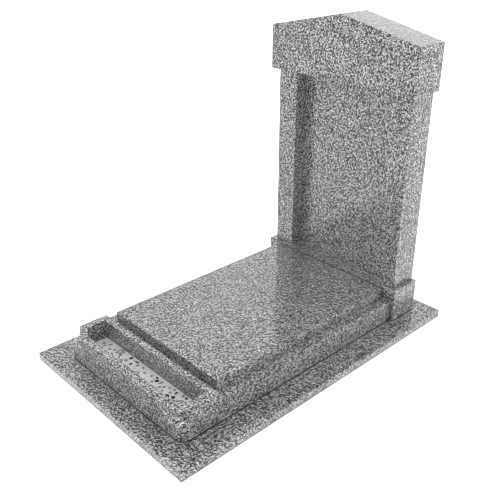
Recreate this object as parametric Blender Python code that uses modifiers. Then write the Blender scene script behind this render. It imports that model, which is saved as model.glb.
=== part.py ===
"""Grave monument in polished granite: a ground slab, a kerb with a planter, a ledger and a gabled stele.

Metres, +Z up. The origin is the middle of the ground slab's underside. The stele stands at the +Y end
and the planter is at the -Y end, where a visitor stands.
"""

import math

import bmesh
import bpy

# Ground slab
SLAB_WIDTH = 1.200
SLAB_LENGTH = 1.900
SLAB_THICKNESS = 0.044

# Kerb that carries the ledger
KERB_SIDE_MARGIN = 0.135
KERB_FRONT_MARGIN = 0.112
KERB_HEIGHT = 0.126
KERB_WALL = 0.100
LEDGER_BEARING = 0.050
KERB_CORNER_RADIUS = 0.050
KERB_ROUNDING = 0.005

# Planter in the kerb's front end. It stands above the kerb, and its two front corners are cut back
# over a low step with a rounded top
PLANTER_HEIGHT = 0.156
END_WALL_THICKNESS = 0.055
END_WALL_ROUNDING = 0.017
FRONT_WALL_THICKNESS = 0.044
BACK_WALL_THICKNESS = 0.034
CORNER_CUT_ACROSS = 0.120
CORNER_CUT_BACK = 0.070
CORNER_STEP_HEIGHT = 0.113
CORNER_STEP_ROUNDING = 0.037
TROUGH_WIDTH = 0.145
TROUGH_CORNER_ACROSS = 0.069
TROUGH_CORNER_BACK = 0.041
TROUGH_FLOOR = 0.033
BED_THICKNESS = 0.020

# Ledger, the flat stone over the kerb
LEDGER_SIDE_SET_BACK = 0.059
LEDGER_FRONT_GAP = 0.036
LEDGER_THICKNESS = 0.053

# Stele: a plinth, two pillars with a sunk panel between them, and a gabled cap
STELE_BACK_MARGIN = 0.100
PILLAR_DEPTH = 0.172
PILLAR_WIDTH = 0.131
PANEL_THICKNESS = 0.090
SHAFT_WIDTH = 0.914
SHAFT_HEIGHT = 1.079
PLINTH_HEIGHT = 0.190
PLINTH_SIDE_STEP = 0.029
PLINTH_FRONT_STEP = 0.028
CAP_SIDE_STEP = 0.031
CAP_FRONT_STEP = 0.037
CAP_EAVE_HEIGHT = 0.241
CAP_RISE = 0.102

# Small sizes that several pieces share
JOINT_GAP = 0.0003
CUTTER_MARGIN = 0.020
ARRIS = 0.003
ARRIS_SEGMENTS = 2
ROUND_SEGMENTS = 8
SQUARE_EDGE_ANGLE = math.radians(40)
RIDGE_ANGLE = math.radians(15)

# Levels
KERB_BASE = SLAB_THICKNESS + JOINT_GAP
KERB_TOP = KERB_BASE + KERB_HEIGHT
CORNER_STEP_TOP = KERB_BASE + CORNER_STEP_HEIGHT
PLANTER_TOP = KERB_BASE + PLANTER_HEIGHT
TROUGH_BOTTOM = KERB_BASE + TROUGH_FLOOR
LEDGER_BASE = KERB_TOP + JOINT_GAP
PLINTH_TOP = KERB_BASE + PLINTH_HEIGHT
SHAFT_BASE = PLINTH_TOP + JOINT_GAP
SHAFT_TOP = SHAFT_BASE + SHAFT_HEIGHT
CAP_BASE = SHAFT_TOP + JOINT_GAP
CAP_EAVE = CAP_BASE + CAP_EAVE_HEIGHT
CAP_APEX = CAP_EAVE + CAP_RISE

# Stations from the front to the back
STELE_BACK = SLAB_LENGTH / 2 - STELE_BACK_MARGIN
PILLAR_FRONT = STELE_BACK - PILLAR_DEPTH
PLINTH_FRONT = PILLAR_FRONT - PLINTH_FRONT_STEP
CAP_FRONT = PILLAR_FRONT - CAP_FRONT_STEP
KERB_FRONT = -SLAB_LENGTH / 2 + KERB_FRONT_MARGIN
KERB_BACK = PLINTH_FRONT - JOINT_GAP
TROUGH_FRONT = KERB_FRONT + FRONT_WALL_THICKNESS
TROUGH_BACK = TROUGH_FRONT + TROUGH_WIDTH
PLANTER_BACK = TROUGH_BACK + BACK_WALL_THICKNESS
LEDGER_FRONT = PLANTER_BACK + LEDGER_FRONT_GAP
CAVITY_FRONT = LEDGER_FRONT + LEDGER_BEARING
CAVITY_BACK = KERB_BACK - KERB_WALL

# Half widths
KERB_HALF = SLAB_WIDTH / 2 - KERB_SIDE_MARGIN
TROUGH_HALF = KERB_HALF - END_WALL_THICKNESS
CAVITY_HALF = KERB_HALF - KERB_WALL
LEDGER_HALF = KERB_HALF - LEDGER_SIDE_SET_BACK
SHAFT_HALF = SHAFT_WIDTH / 2
PANEL_HALF = SHAFT_HALF - PILLAR_WIDTH
PLINTH_HALF = SHAFT_HALF + PLINTH_SIDE_STEP
CAP_HALF = SHAFT_HALF + CAP_SIDE_STEP

# Stones
GRANITE = (0.30, 0.30, 0.30, 1.0)
TERRAZZO = (0.52, 0.51, 0.49, 1.0)
POLISHED = 0.12
HONED = 0.40


def clear_scene():
    for obj in list(bpy.data.objects):
        bpy.data.objects.remove(obj)


def new_collection(name):
    collection = bpy.data.collections.new(name)
    bpy.context.scene.collection.children.link(collection)
    return collection


def add_object(name, bm, collection):
    bmesh.ops.recalc_face_normals(bm, faces=bm.faces)
    mesh = bpy.data.meshes.new(name)
    bm.to_mesh(mesh)
    bm.free()
    obj = bpy.data.objects.new(name, mesh)
    collection.objects.link(obj)
    return obj


def block(name, low, high, collection):
    """A box between two corners, with its origin at its middle."""
    size = [b - a for a, b in zip(low, high)]
    bm = bmesh.new()
    bmesh.ops.create_cube(bm, size=1.0)
    bmesh.ops.scale(bm, vec=size, verts=bm.verts)
    obj = add_object(name, bm, collection)
    obj.location = [(a + b) / 2 for a, b in zip(low, high)]
    return obj


def loft(name, loops, collection):
    """A closed body through loops of points, each with the same count."""
    bm = bmesh.new()
    rings = [[bm.verts.new(point) for point in loop] for loop in loops]
    count = len(rings[0])
    for low, high in zip(rings, rings[1:]):
        for here in range(count):
            after = (here + 1) % count
            bm.faces.new([low[here], low[after], high[after], high[here]])
    bm.faces.new(rings[0])
    bm.faces.new(rings[-1])
    return add_object(name, bm, collection)


def along(outline, y):
    """A front outline, of (x, z) points, placed at one y."""
    return [(x, y, z) for x, z in outline]


def upright(name, outline, base, helpers):
    """A helper over an outline of (x, y) points, from a base level to clear above the planter."""
    top = PLANTER_TOP + CUTTER_MARGIN
    return loft(name, [[(x, y, level) for x, y in outline] for level in (base, top)], helpers)


def arc(centre, radius, start, end):
    """Points along an arc, with its angles in degrees."""
    points = []
    for step in range(ROUND_SEGMENTS + 1):
        angle = math.radians(start + (end - start) * step / ROUND_SEGMENTS)
        points.append((centre[0] + radius * math.cos(angle), centre[1] + radius * math.sin(angle)))
    return points


def combine(obj, other, operation):
    modifier = obj.modifiers.new(other.name, "BOOLEAN")
    modifier.operation = operation
    modifier.object = other
    modifier.solver = "EXACT"
    other.hide_render = True
    other.display_type = "WIRE"


def ease(obj, sharper_than=SQUARE_EDGE_ANGLE):
    """Rounds the edges of a stone."""
    bevel = obj.modifiers.new("eased_edges", "BEVEL")
    bevel.width = ARRIS
    bevel.segments = ARRIS_SEGMENTS
    bevel.limit_method = "ANGLE"
    bevel.angle_limit = sharper_than
    bevel.harden_normals = True
    obj.data.shade_smooth()


def give_material(obj, colour, roughness):
    material = bpy.data.materials.new(obj.name + "_stone")
    material.use_nodes = True
    shader = material.node_tree.nodes["Principled BSDF"]
    shader.inputs["Base Color"].default_value = colour
    shader.inputs["Roughness"].default_value = roughness
    shader.inputs["Metallic"].default_value = 0.0
    obj.data.materials.append(material)


def make_slab(parts):
    half = SLAB_WIDTH / 2
    end = SLAB_LENGTH / 2
    slab = block("base_slab", (-half, -end, 0), (half, end, SLAB_THICKNESS), parts)
    ease(slab)
    give_material(slab, GRANITE, POLISHED)


def end_outline(top, rounding):
    """The kerb or the planter seen from the front, with its two top edges rounded."""
    inner = KERB_HALF - rounding
    right = arc((inner, top - rounding), rounding, 0, 90)
    left = arc((-inner, top - rounding), rounding, 90, 180)
    return [(KERB_HALF, KERB_BASE)] + right + left + [(-KERB_HALF, KERB_BASE)]


def planter_plan():
    """The planter seen from above, with its two front corners cut back."""
    return [
        (-KERB_HALF, PLANTER_BACK),
        (-KERB_HALF, KERB_FRONT + CORNER_CUT_BACK),
        (-KERB_HALF + CORNER_CUT_ACROSS, KERB_FRONT),
        (KERB_HALF - CORNER_CUT_ACROSS, KERB_FRONT),
        (KERB_HALF, KERB_FRONT + CORNER_CUT_BACK),
        (KERB_HALF, PLANTER_BACK),
    ]


def planter_body(helpers):
    """The planter as a solid block, with its two outer top edges rounded."""
    outline = end_outline(PLANTER_TOP, END_WALL_ROUNDING)
    body = loft("planter_body", [along(outline, KERB_FRONT), along(outline, PLANTER_BACK)], helpers)
    combine(body, upright("planter_plan", planter_plan(), KERB_BASE - CUTTER_MARGIN, helpers), "INTERSECT")
    return body


def step_plan(inset):
    """The low step seen from above, with round front corners. An inset draws it in, but not at its back."""
    radius = KERB_CORNER_RADIUS
    back = TROUGH_BACK
    left = arc((-KERB_HALF + radius, KERB_FRONT + radius), radius - inset, 180, 270)
    right = arc((KERB_HALF - radius, KERB_FRONT + radius), radius - inset, 270, 360)
    return [(-KERB_HALF + inset, back)] + left + right + [(KERB_HALF - inset, back)]


def step_body(helpers):
    """The low step, with its top edge rounded all the way round."""
    loops = [[(x, y, KERB_BASE) for x, y in step_plan(0)]]
    for reach, rise in arc((0, 0), CORNER_STEP_ROUNDING, 0, 90):
        level = CORNER_STEP_TOP - CORNER_STEP_ROUNDING + rise
        loops.append([(x, y, level) for x, y in step_plan(CORNER_STEP_ROUNDING - reach)])
    return loft("step_body", loops, helpers)


def trough_plan(gap=0.0):
    """The trough seen from above, with its two front corners canted. A gap draws it in for the bed."""
    half = TROUGH_HALF - gap
    front = TROUGH_FRONT + gap
    return [
        (-half, TROUGH_BACK - gap),
        (-half, front + TROUGH_CORNER_BACK),
        (-half + TROUGH_CORNER_ACROSS, front),
        (half - TROUGH_CORNER_ACROSS, front),
        (half, front + TROUGH_CORNER_BACK),
        (half, TROUGH_BACK - gap),
    ]


def cavity_cutter(helpers):
    low = (-CAVITY_HALF, CAVITY_FRONT, KERB_BASE - CUTTER_MARGIN)
    high = (CAVITY_HALF, CAVITY_BACK, KERB_TOP + CUTTER_MARGIN)
    return block("cavity_cutter", low, high, helpers)


def make_kerb(parts, helpers):
    outline = end_outline(KERB_TOP, KERB_ROUNDING)
    start = TROUGH_BACK + BACK_WALL_THICKNESS / 2
    kerb = loft("kerb_with_planter", [along(outline, start), along(outline, KERB_BACK)], parts)
    combine(kerb, planter_body(helpers), "UNION")
    combine(kerb, step_body(helpers), "UNION")
    combine(kerb, upright("trough_cutter", trough_plan(), TROUGH_BOTTOM, helpers), "DIFFERENCE")
    combine(kerb, cavity_cutter(helpers), "DIFFERENCE")
    give_material(kerb, GRANITE, POLISHED)


def make_bed(parts):
    base = TROUGH_BOTTOM + JOINT_GAP
    outline = trough_plan(JOINT_GAP)
    low = [(x, y, base) for x, y in outline]
    high = [(x, y, base + BED_THICKNESS) for x, y in outline]
    bed = loft("planter_bed", [low, high], parts)
    give_material(bed, TERRAZZO, HONED)


def make_ledger(parts):
    low = (-LEDGER_HALF, LEDGER_FRONT, LEDGER_BASE)
    high = (LEDGER_HALF, PLINTH_FRONT - JOINT_GAP, LEDGER_BASE + LEDGER_THICKNESS)
    ledger = block("ledger", low, high, parts)
    ease(ledger)
    give_material(ledger, GRANITE, POLISHED)


def make_stele(parts):
    low = (-PLINTH_HALF, PLINTH_FRONT, KERB_BASE)
    plinth = block("stele_plinth", low, (PLINTH_HALF, STELE_BACK, PLINTH_TOP), parts)
    low = (-SHAFT_HALF, PILLAR_FRONT, SHAFT_BASE)
    left = block("left_pillar", low, (-PANEL_HALF, STELE_BACK, SHAFT_TOP), parts)
    low = (PANEL_HALF, PILLAR_FRONT, SHAFT_BASE)
    right = block("right_pillar", low, (SHAFT_HALF, STELE_BACK, SHAFT_TOP), parts)
    for stone in (plinth, left, right):
        ease(stone)
        give_material(stone, GRANITE, POLISHED)
    half = PANEL_HALF - JOINT_GAP
    low = (-half, STELE_BACK - PANEL_THICKNESS, SHAFT_BASE)
    panel = block("stele_panel", low, (half, STELE_BACK, SHAFT_TOP), parts)
    give_material(panel, GRANITE, POLISHED)


def make_cap(parts):
    gable = [
        (-CAP_HALF, CAP_BASE),
        (CAP_HALF, CAP_BASE),
        (CAP_HALF, CAP_EAVE),
        (0, CAP_APEX),
        (-CAP_HALF, CAP_EAVE),
    ]
    cap = loft("pediment_cap", [along(gable, CAP_FRONT), along(gable, STELE_BACK)], parts)
    ease(cap, sharper_than=RIDGE_ANGLE)
    give_material(cap, GRANITE, POLISHED)


def main():
    clear_scene()
    parts = new_collection("grave_monument")
    helpers = new_collection("grave_monument_helpers")
    make_slab(parts)
    make_kerb(parts, helpers)
    make_bed(parts)
    make_ledger(parts)
    make_stele(parts)
    make_cap(parts)


main()
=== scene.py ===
"""Looks of the grave monument.

Polished salt-and-pepper granite, a pale bed with stone chips, a studio floor, light and camera.
"""

import math
import random

import bmesh
import bpy
from mathutils import Matrix, Vector, noise


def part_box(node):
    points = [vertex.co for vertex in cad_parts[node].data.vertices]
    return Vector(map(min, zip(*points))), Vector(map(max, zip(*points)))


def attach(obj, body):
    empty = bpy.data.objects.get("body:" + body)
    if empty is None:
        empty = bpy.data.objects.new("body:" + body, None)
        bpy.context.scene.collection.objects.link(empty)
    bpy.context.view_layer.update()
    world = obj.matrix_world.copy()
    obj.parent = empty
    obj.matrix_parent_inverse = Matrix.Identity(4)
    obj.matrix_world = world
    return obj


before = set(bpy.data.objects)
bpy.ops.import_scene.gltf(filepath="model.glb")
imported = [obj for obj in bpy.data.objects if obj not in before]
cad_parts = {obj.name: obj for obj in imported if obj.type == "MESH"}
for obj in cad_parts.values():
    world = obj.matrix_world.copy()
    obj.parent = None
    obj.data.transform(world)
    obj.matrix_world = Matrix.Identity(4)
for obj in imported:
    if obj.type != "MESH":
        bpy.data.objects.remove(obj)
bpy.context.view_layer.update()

# Lengths are in metres. A ramp's stops are (place from 0 to 1, grey or colour)

WHITE = (1, 1, 1, 1)

# Camera fitted to the photo: its place, its yaw and pitch in degrees, the lens and the sensor's
# width in millimetres, and the width in pixels of the filter that blends neighbouring pixels
CAMERA_PLACE = (2.3615, -2.2186, 2.1507)
CAMERA_YAW = 46.6915
CAMERA_PITCH = -26.4378
LENS = 50
SENSOR = 36
PIXEL_FILTER = 0.8

# Studio: even white light from all round, the times it bounces between matt faces, and half the
# side of a matt floor that glows so that it stays pale
WORLD_STRENGTH = 1.12
DIFFUSE_BOUNCES = 1
FLOOR_HALF = 12.0
FLOOR_COLOUR = (0.30, 0.30, 0.30, 1)
FLOOR_ROUGHNESS = 0.9
FLOOR_SPECULAR = 0.0
FLOOR_GLOW = 0.90

# Granite: the width of a grain, how far a noise pushes its outline about, and that noise's width
GRAIN = 0.0054
GRAIN_PUSH = 0.4 * GRAIN
GRAIN_PUSH_WIDTH = 0.8 * GRAIN
# Its minerals, darkest first: the chance where each one's share starts, and its grey
MINERALS = [(0.0, 0.003), (0.42, 0.12), (0.50, 0.33), (0.80, 0.48), (0.94, 0.68)]
# Tints that the grey is multiplied by: a grain's own, from warm over cool to none, and that of
# faint clouds, from warm to cool, with their width
GRAIN_TINT = [(0.0, (1.12, 1.0, 0.89)), (0.5, (0.94, 1.0, 1.06)), (1.0, (1.0, 1.0, 1.0))]
CLOUD_TINT = [(0.35, (0.97, 0.93, 0.87)), (0.65, (1.01, 1.06, 1.12))]
CLOUD = 0.020
# Polish: the roughness from the darkest mineral to the palest, the grains' relief, and the coat
POLISH = [(0.0, 0.34), (0.45, 0.22), (1.0, 0.18)]
GRAIN_RELIEF_STRENGTH = 0.06
GRAIN_RELIEF = 0.0002
GRANITE_IOR = 1.50
COAT = 1.0
COAT_IOR = 1.55
COAT_ROUGHNESS = 0.03
# How far the pattern shifts from one stone to the next, and its turn in radians
STONE_STEP = (1.37, 0.71, 2.13)
STONE_TURN = (0.4, 0.7, 0.2)

# Painted shade at joints: how far the painted shade reaches from a joint, its colour, how strong
# it is by how much the neighbour hides the stone, and the width and strength of the patches that
# make it uneven
JOINT_SHADE_REACH = 0.012
JOINT_SHADE_SAMPLES = 8
PAINTED_JOINT_SHADE = (0.030, 0.030, 0.031, 1)
JOINT_SHADE_BY_HIDING = [(0.12, 0.0), (0.34, 0.95)]
JOINT_SHADE_PATCH = 0.10
JOINT_SHADE_BY_PATCH = [(0.35, 0.75), (0.60, 1.0)]
# The heights between which each stone gets painted shade at its joints. The joint under the ledger
# and those above the plinth get none
JOINT_SHADE_HEIGHTS = {
    "base_slab": (0.0, 0.10),
    "kerb_with_planter": (0.0, 0.15),
    "ledger": (0.20, 0.30),
    "stele_plinth": (0.0, 0.228),
}
# 0 at the lower height and below it, 1 between the heights, 0 again at the upper one and above
BETWEEN = [(0.0, 0.0), (0.001, 1.0), (0.999, 0.0)]

# Worn edges: how far wear reaches from an edge, how strong it is by how much stone lies behind
# the surface, its colour, and its roughness as a grey
WEAR_REACH = 0.004
WEAR_SAMPLES = 4
WEAR_BY_DEPTH = [(0.3, 0.25), (0.9, 0.0)]
WORN = (0.34, 0.34, 0.34, 1)
WORN_ROUGHNESS = (0.34, 0.34, 0.34, 1)

# A noise's middle in each channel, and the range of it that the bed's and the chips' ramps use
NOISE_MIDDLE = (0.5, 0.5, 0.5)
NOISE_LOW = 0.3
NOISE_HIGH = 0.7
# Fine noise of the bed and the chips: its detail, and the strength of its relief
FINE_DETAIL = 3.0
FINE_RELIEF_STRENGTH = 0.25

# Bed: its pattern's shift and turn, the width of its clouds and their two colours, then its
# grain's width, its least and greatest brightness and roughness, and its relief
BED_SHIFT = (0.31, 0.17, 0.0)
BED_TURN = (0.0, 0.0, 0.6)
BED_CLOUD = 0.05
BED_COLOURS = ((0.76, 0.76, 0.745), (0.89, 0.885, 0.87))
BED_GRAIN = 0.004
BED_SPECKLE = (0.93, 1.05)
BED_ROUGHNESS = (0.42, 0.58)
BED_RELIEF = 0.0008
# Its faint spots: the width of the cell that each lies in, how far a noise pushes its outline
# about, and that noise's width
SPOT = 0.022
SPOT_PUSH = 0.35 * SPOT
SPOT_PUSH_WIDTH = 0.6 * SPOT
# How a spot fades from the middle of its cell, and how strong it is by the cell's chance
SPOT_BY_DISTANCE = [(0.20, 1.0), (0.38, 0.0)]
SPOT_BY_CHANCE = [(0.0, 0.5), (0.35, 0.25), (0.60, 0.0)]
SPOT_COLOUR = (0.30, 0.31, 0.29, 1)

# Chips half sunk in the bed: their number, their half sizes, how far apart their middles lie at
# least, and how far inside the bed's outline
CHIP_SEED = 11
CHIP_COUNT = 105
CHIP_HALF_LENGTH = (0.0060, 0.0150)
CHIP_HALF_WIDTH = (0.0050, 0.0100)
CHIP_HALF_HEIGHT = 0.0020
CHIP_SPACING = 0.022
CHIP_EDGE_MARGIN = 0.013
# A chip's shape before it is stretched: a ball of radius 1 that a noise swells and dents by up
# to this share, with this many waves to a radius, read from a place of its own in this range
CHIP_SUBDIVISIONS = 3
CHIP_DENT = 0.28
CHIP_WAVES = 1.6
CHIP_NOISE_SPREAD = 50
# A chip's grain: its width, its least and greatest roughness, and its relief
CHIP_GRAIN = 0.003
CHIP_ROUGHNESS = (0.35, 0.60)
CHIP_RELIEF = 0.0004
# Each kind of chip: its share, and its darkest and palest colour
CHIP_KINDS = [
    (0.18, (0.006, 0.006, 0.006), (0.030, 0.030, 0.032)),
    (0.72, (0.20, 0.21, 0.20), (0.40, 0.41, 0.39)),
    (0.10, (0.85, 0.85, 0.83), (0.95, 0.95, 0.93)),
]

# Shading of the stones: the distance at which corners count as one, the angle from which an edge
# stays sharp, and how strongly large faces lead the normals
WELD_DISTANCE = 0.00001
SHARP_ANGLE = math.radians(50)
AREA_WEIGHT = 50

# Reading the bed's outline: how close to the top a corner lies, and the decimals that two
# corners share when they count as one
LEVEL_TOLERANCE = 0.00001
OUTLINE_DECIMALS = 4


def nodes_of(name):
    """A new material, the function that links its nodes, its shader, and one that adds nodes."""
    material = bpy.data.materials.new(name)
    material.use_nodes = True
    tree = material.node_tree
    shader = tree.nodes["Principled BSDF"]

    def add(kind, **settings):
        node = tree.nodes.new(kind)
        for key, value in settings.items():
            setattr(node, key, value)
        return node

    return material, tree.links.new, shader, add


def ramp(add, link, factor, stops, interpolation="LINEAR"):
    """What a colour ramp with these stops makes of a factor."""
    node = add("ShaderNodeValToRGB")
    node.color_ramp.interpolation = interpolation
    elements = node.color_ramp.elements
    while len(elements) < len(stops):
        elements.new(1.0)
    for element, (place, colour) in zip(elements, stops):
        element.position = place
        element.color = (*colour, 1) if isinstance(colour, tuple) else (colour, colour, colour, 1)
    link(factor, node.inputs["Fac"])
    return node.outputs["Color"]


def noise_ramp(add, link, factor, lower, upper):
    """A ramp from one grey or colour to another over the range that a noise mostly keeps to."""
    return ramp(add, link, factor, [(NOISE_LOW, lower), (NOISE_HIGH, upper)])


def mix(add, link, a, b, factor, blend="MIX"):
    """Mixes colour a with b by a factor. Both b and the factor may be a value or a socket."""
    node = add("ShaderNodeMix", data_type="RGBA", blend_type=blend)
    if isinstance(factor, float):
        node.inputs["Factor"].default_value = factor
    else:
        link(factor, node.inputs["Factor"])
    link(a, node.inputs["A"])
    if isinstance(b, tuple):
        node.inputs["B"].default_value = b
    else:
        link(b, node.inputs["B"])
    return node.outputs["Result"]


def multiplied(add, link, a, b):
    """Two colours multiplied."""
    return mix(add, link, a, b, 1.0, "MULTIPLY")


def bumped(add, link, shader, height, strength, depth):
    """Gives a shader a relief."""
    relief = add("ShaderNodeBump")
    relief.inputs["Strength"].default_value = strength
    relief.inputs["Distance"].default_value = depth
    link(height, relief.inputs["Height"])
    link(relief.outputs["Normal"], shader.inputs["Normal"])


def shifted(add, link, shift, turn=STONE_TURN):
    """Object coordinates, shifted and turned as stones are cut from different places."""
    place = add("ShaderNodeTexCoord")
    moved = add("ShaderNodeMapping")
    moved.inputs["Location"].default_value = shift
    moved.inputs["Rotation"].default_value = turn
    link(place.outputs["Object"], moved.inputs["Vector"])
    return moved.outputs["Vector"]


def cloud(add, link, vector, width, detail=2.0):
    """Soft noise of a width."""
    node = add("ShaderNodeTexNoise")
    node.inputs["Scale"].default_value = 1 / width
    node.inputs["Detail"].default_value = detail
    link(vector, node.inputs["Vector"])
    return node


def cells(add, link, vector, width):
    """Random cells: a Voronoi node, and its colour's three channels as three chances."""
    node = add("ShaderNodeTexVoronoi")
    node.inputs["Scale"].default_value = 1 / width
    link(vector, node.inputs["Vector"])
    chances = add("ShaderNodeSeparateColor")
    link(node.outputs["Color"], chances.inputs["Color"])
    return node, chances


def ragged(add, link, vector, width, reach):
    """Coordinates pushed about by a noise, so that cells get uneven edges."""
    wave = cloud(add, link, vector, width, detail=1.0)
    centred = add("ShaderNodeVectorMath", operation="SUBTRACT")
    centred.inputs[1].default_value = NOISE_MIDDLE
    link(wave.outputs["Color"], centred.inputs[0])
    pushed = add("ShaderNodeVectorMath", operation="MULTIPLY_ADD")
    pushed.inputs[1].default_value = (reach, reach, reach)
    link(centred.outputs[0], pushed.inputs[0])
    link(vector, pushed.inputs[2])
    return pushed.outputs[0]


def paint_joint_shade(add, link, stone, colour, heights):
    """Paints shade into the stone's colour, unevenly, at its joints between two heights.

    A joint is where other stones hide the surface and its own stone doesn't, so shade falls there.
    """
    alone = add("ShaderNodeAmbientOcclusion", only_local=True, samples=JOINT_SHADE_SAMPLES)
    together = add("ShaderNodeAmbientOcclusion", samples=JOINT_SHADE_SAMPLES)
    for node in (alone, together):
        node.inputs["Distance"].default_value = JOINT_SHADE_REACH
    hidden = add("ShaderNodeMath", operation="SUBTRACT")
    link(alone.outputs["AO"], hidden.inputs[0])
    link(together.outputs["AO"], hidden.inputs[1])
    amount = ramp(add, link, hidden.outputs[0], JOINT_SHADE_BY_HIDING)
    patches = cloud(add, link, stone, JOINT_SHADE_PATCH)
    strength = ramp(add, link, patches.outputs["Fac"], JOINT_SHADE_BY_PATCH)
    uneven = multiplied(add, link, amount, strength)

    place = add("ShaderNodeTexCoord")
    split = add("ShaderNodeSeparateXYZ")
    link(place.outputs["Object"], split.inputs["Vector"])
    height = add("ShaderNodeMapRange", clamp=True)
    height.inputs["From Min"].default_value, height.inputs["From Max"].default_value = heights
    link(split.outputs["Z"], height.inputs["Value"])
    between = ramp(add, link, height.outputs["Result"], BETWEEN, "CONSTANT")
    shown = multiplied(add, link, uneven, between)
    # The colour is mixed towards the painted joint shade
    return mix(add, link, colour, PAINTED_JOINT_SHADE, shown)


def worn_edges(add, link):
    """How worn the stone is: most along its edges, where little stone lies behind the surface."""
    behind = add("ShaderNodeAmbientOcclusion", only_local=True, inside=True, samples=WEAR_SAMPLES)
    behind.inputs["Distance"].default_value = WEAR_REACH
    return ramp(add, link, behind.outputs["AO"], WEAR_BY_DEPTH)


def granite(name, shift, joint_shade_heights=None):
    """Polished granite, with painted shade at its joints between two heights if any show."""
    material, link, shader, add = nodes_of(name)
    stone = shifted(add, link, shift)
    pushed = ragged(add, link, stone, GRAIN_PUSH_WIDTH, GRAIN_PUSH)
    grain, chances = cells(add, link, pushed, GRAIN)
    minerals = ramp(add, link, chances.outputs["Red"], MINERALS, "CONSTANT")

    # Warm and cool grains, and faint warm and cool clouds
    tint = ramp(add, link, chances.outputs["Blue"], GRAIN_TINT)
    colour = multiplied(add, link, minerals, tint)
    clouds = cloud(add, link, stone, CLOUD)
    cloud_tint = ramp(add, link, clouds.outputs["Fac"], CLOUD_TINT)
    colour = multiplied(add, link, colour, cloud_tint)
    edge = worn_edges(add, link)
    colour = mix(add, link, colour, WORN, edge)
    # Painted shade darkens the joints where other stones hide the surface
    if joint_shade_heights:
        colour = paint_joint_shade(add, link, stone, colour, joint_shade_heights)
    link(colour, shader.inputs["Base Color"])

    # Dark mica takes a duller polish than quartz, and a grain's rim stands a hair above its middle
    dullness = ramp(add, link, chances.outputs["Red"], POLISH)
    rough = mix(add, link, dullness, WORN_ROUGHNESS, edge)
    link(rough, shader.inputs["Roughness"])
    bumped(add, link, shader, grain.outputs["Distance"], GRAIN_RELIEF_STRENGTH, GRAIN_RELIEF)
    shader.inputs["IOR"].default_value = GRANITE_IOR
    shader.inputs["Coat Weight"].default_value = COAT
    shader.inputs["Coat Roughness"].default_value = COAT_ROUGHNESS
    shader.inputs["Coat IOR"].default_value = COAT_IOR
    return material


def chip_bed(name):
    """Pale bound bed with faint grey spots."""
    material, link, shader, add = nodes_of(name)
    stone = shifted(add, link, BED_SHIFT, BED_TURN)
    pushed = ragged(add, link, stone, SPOT_PUSH_WIDTH, SPOT_PUSH)
    spot, chances = cells(add, link, pushed, SPOT)
    clouds = cloud(add, link, stone, BED_CLOUD)
    pale = noise_ramp(add, link, clouds.outputs["Fac"], *BED_COLOURS)

    # A spot fills the middle of its cell, in the cells that chance gives one
    inside = ramp(add, link, spot.outputs["Distance"], SPOT_BY_DISTANCE)
    given = ramp(add, link, chances.outputs["Red"], SPOT_BY_CHANCE, "CONSTANT")
    amount = multiplied(add, link, inside, given)
    colour = mix(add, link, pale, SPOT_COLOUR, amount)
    fine = cloud(add, link, stone, BED_GRAIN, FINE_DETAIL)
    speckle = noise_ramp(add, link, fine.outputs["Fac"], *BED_SPECKLE)
    colour = multiplied(add, link, colour, speckle)
    link(colour, shader.inputs["Base Color"])
    finish_rough(add, link, shader, fine, BED_ROUGHNESS, BED_RELIEF)
    return material


def chip_stone(name, darkest, palest):
    """Broken stone with a faint grain."""
    material, link, shader, add = nodes_of(name)
    stone = shifted(add, link, shift=(0.0, 0.0, 0.0))
    fine = cloud(add, link, stone, CHIP_GRAIN, FINE_DETAIL)
    shades = noise_ramp(add, link, fine.outputs["Fac"], darkest, palest)
    link(shades, shader.inputs["Base Color"])
    finish_rough(add, link, shader, fine, CHIP_ROUGHNESS, CHIP_RELIEF)
    return material


def finish_rough(add, link, shader, fine, roughness, depth):
    """Uneven gloss and a fine relief from the same noise."""
    dullness = noise_ramp(add, link, fine.outputs["Fac"], *roughness)
    link(dullness, shader.inputs["Roughness"])
    bumped(add, link, shader, fine.outputs["Fac"], FINE_RELIEF_STRENGTH, depth)


def inside_outline(point, outline, margin):
    """Whether a point lies inside a convex outline, clear of its edges by a margin."""
    for a, b in zip(outline, outline[1:] + outline[:1]):
        edge = (b - a).normalized()
        away = point - a
        if edge.x * away.y - edge.y * away.x < margin:
            return False
    return True


def top_outline(node):
    """The outline of a node's top face, anticlockwise, as (x, y) points."""
    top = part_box(node)[1][2]
    found = {}
    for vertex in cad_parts[node].data.vertices:
        if vertex.co.z > top - LEVEL_TOLERANCE:
            corner = vertex.co.xy
            found[(round(corner.x, OUTLINE_DECIMALS), round(corner.y, OUTLINE_DECIMALS))] = corner
    middle = sum(found.values(), Vector((0, 0))) / len(found)
    return sorted(found.values(), key=lambda p: math.atan2(p.y - middle.y, p.x - middle.x))


def chip_places(draw, low, high):
    """Random places on the bed that keep clear of its edges and of each other."""
    outline = top_outline("planter_bed")
    places = []
    while len(places) < CHIP_COUNT:
        point = Vector((draw.uniform(low[0], high[0]), draw.uniform(low[1], high[1])))
        clear = all((point - other).length > CHIP_SPACING for other in places)
        if clear and inside_outline(point, outline, CHIP_EDGE_MARGIN):
            places.append(point)
    return places


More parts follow.
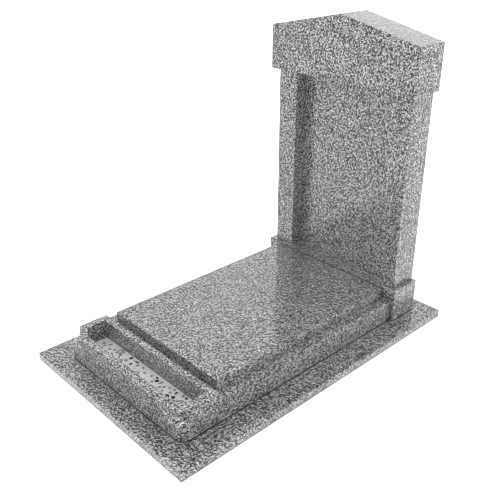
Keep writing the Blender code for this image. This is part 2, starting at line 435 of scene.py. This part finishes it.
def make_chips():
    """Chips half sunk in the bed."""
    low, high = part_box("planter_bed")
    draw = random.Random(CHIP_SEED)
    places = chip_places(draw, low, high)
    shares = [share for share, _, _ in CHIP_KINDS]
    kinds = draw.choices(range(len(CHIP_KINDS)), shares, k=CHIP_COUNT)
    bm = bmesh.new()
    for point, kind in zip(places, kinds):
        half = (draw.uniform(*CHIP_HALF_LENGTH), draw.uniform(*CHIP_HALF_WIDTH), CHIP_HALF_HEIGHT)
        turn = Matrix.Rotation(draw.uniform(0, math.tau), 4, "Z")
        seed = Vector((draw.random(), draw.random(), draw.random())) * CHIP_NOISE_SPREAD
        chip = bmesh.ops.create_icosphere(bm, subdivisions=CHIP_SUBDIVISIONS, radius=1.0)
        for vertex in chip["verts"]:
            ridge = 1 + CHIP_DENT * noise.noise(vertex.co * CHIP_WAVES + seed)
            shaped = Vector(a * b for a, b in zip(vertex.co * ridge, half))
            vertex.co = turn @ shaped + Vector((point.x, point.y, high[2]))
            for face in vertex.link_faces:
                face.material_index = kind
    mesh = bpy.data.meshes.new("bed_chips")
    bm.to_mesh(mesh)
    bm.free()
    mesh.shade_smooth()
    chips = bpy.data.objects.new("bed_chips", mesh)
    bpy.context.scene.collection.objects.link(chips)
    for kind, (_, darkest, palest) in enumerate(CHIP_KINDS):
        mesh.materials.append(chip_stone("chip_" + str(kind), darkest, palest))
    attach(chips, "root")


def even_normals(obj):
    """Shades rounded edges smoothly, and keeps edges that turn by SHARP_ANGLE or more sharp.

    Flat faces that meet at a smaller angle bend each other's shading.
    """
    weld = obj.modifiers.new("weld", "WELD")
    weld.merge_threshold = WELD_DISTANCE
    split = obj.modifiers.new("sharp_edges", "EDGE_SPLIT")
    split.split_angle = SHARP_ANGLE
    normals = obj.modifiers.new("even_normals", "WEIGHTED_NORMAL")
    normals.mode = "FACE_AREA"
    normals.weight = AREA_WEIGHT


def make_floor():
    """A matt floor at height 0, which is pale mostly by its own glow."""
    bm = bmesh.new()
    bmesh.ops.create_grid(bm, x_segments=1, y_segments=1, size=FLOOR_HALF)
    mesh = bpy.data.meshes.new("floor")
    bm.to_mesh(mesh)
    bm.free()
    floor = bpy.data.objects.new("floor", mesh)
    bpy.context.scene.collection.objects.link(floor)
    material, _, shader, _ = nodes_of("floor")
    shader.inputs["Base Color"].default_value = FLOOR_COLOUR
    shader.inputs["Roughness"].default_value = FLOOR_ROUGHNESS
    shader.inputs["Specular IOR Level"].default_value = FLOOR_SPECULAR
    shader.inputs["Emission Color"].default_value = WHITE
    shader.inputs["Emission Strength"].default_value = FLOOR_GLOW
    mesh.materials.append(material)


def make_light():
    """Even white light from all round."""
    world = bpy.data.worlds.new("studio")
    bpy.context.scene.world = world
    world.use_nodes = True
    background = world.node_tree.nodes["Background"]
    background.inputs["Color"].default_value = WHITE
    background.inputs["Strength"].default_value = WORLD_STRENGTH
    bpy.context.scene.cycles.diffuse_bounces = DIFFUSE_BOUNCES


def make_camera():
    """A camera that sees the monument from where the photo does."""
    camera = bpy.data.objects.new("camera", bpy.data.cameras.new("camera"))
    bpy.context.scene.collection.objects.link(camera)
    camera.data.lens = LENS
    camera.data.sensor_width = SENSOR
    # A camera that isn't tilted looks straight down
    turn = Matrix.Rotation(math.radians(CAMERA_YAW), 4, "Z")
    tilt = Matrix.Rotation(math.radians(90 + CAMERA_PITCH), 4, "X")
    camera.matrix_world = Matrix.Translation(CAMERA_PLACE) @ turn @ tilt
    bpy.context.scene.camera = camera
    bpy.context.scene.view_settings.view_transform = "Standard"
    bpy.context.scene.cycles.filter_width = PIXEL_FILTER


for index, (node, obj) in enumerate(sorted(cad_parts.items())):
    if node == "planter_bed":
        material = chip_bed("planter_bed_stone")
    else:
        shift = tuple(index * step for step in STONE_STEP)
        # Stones listed in the heights table get painted shade at their joints
        material = granite(node + "_stone", shift, JOINT_SHADE_HEIGHTS.get(node))
    obj.material_slots[0].material = material
    even_normals(obj)

make_chips()
make_floor()
make_light()
make_camera()
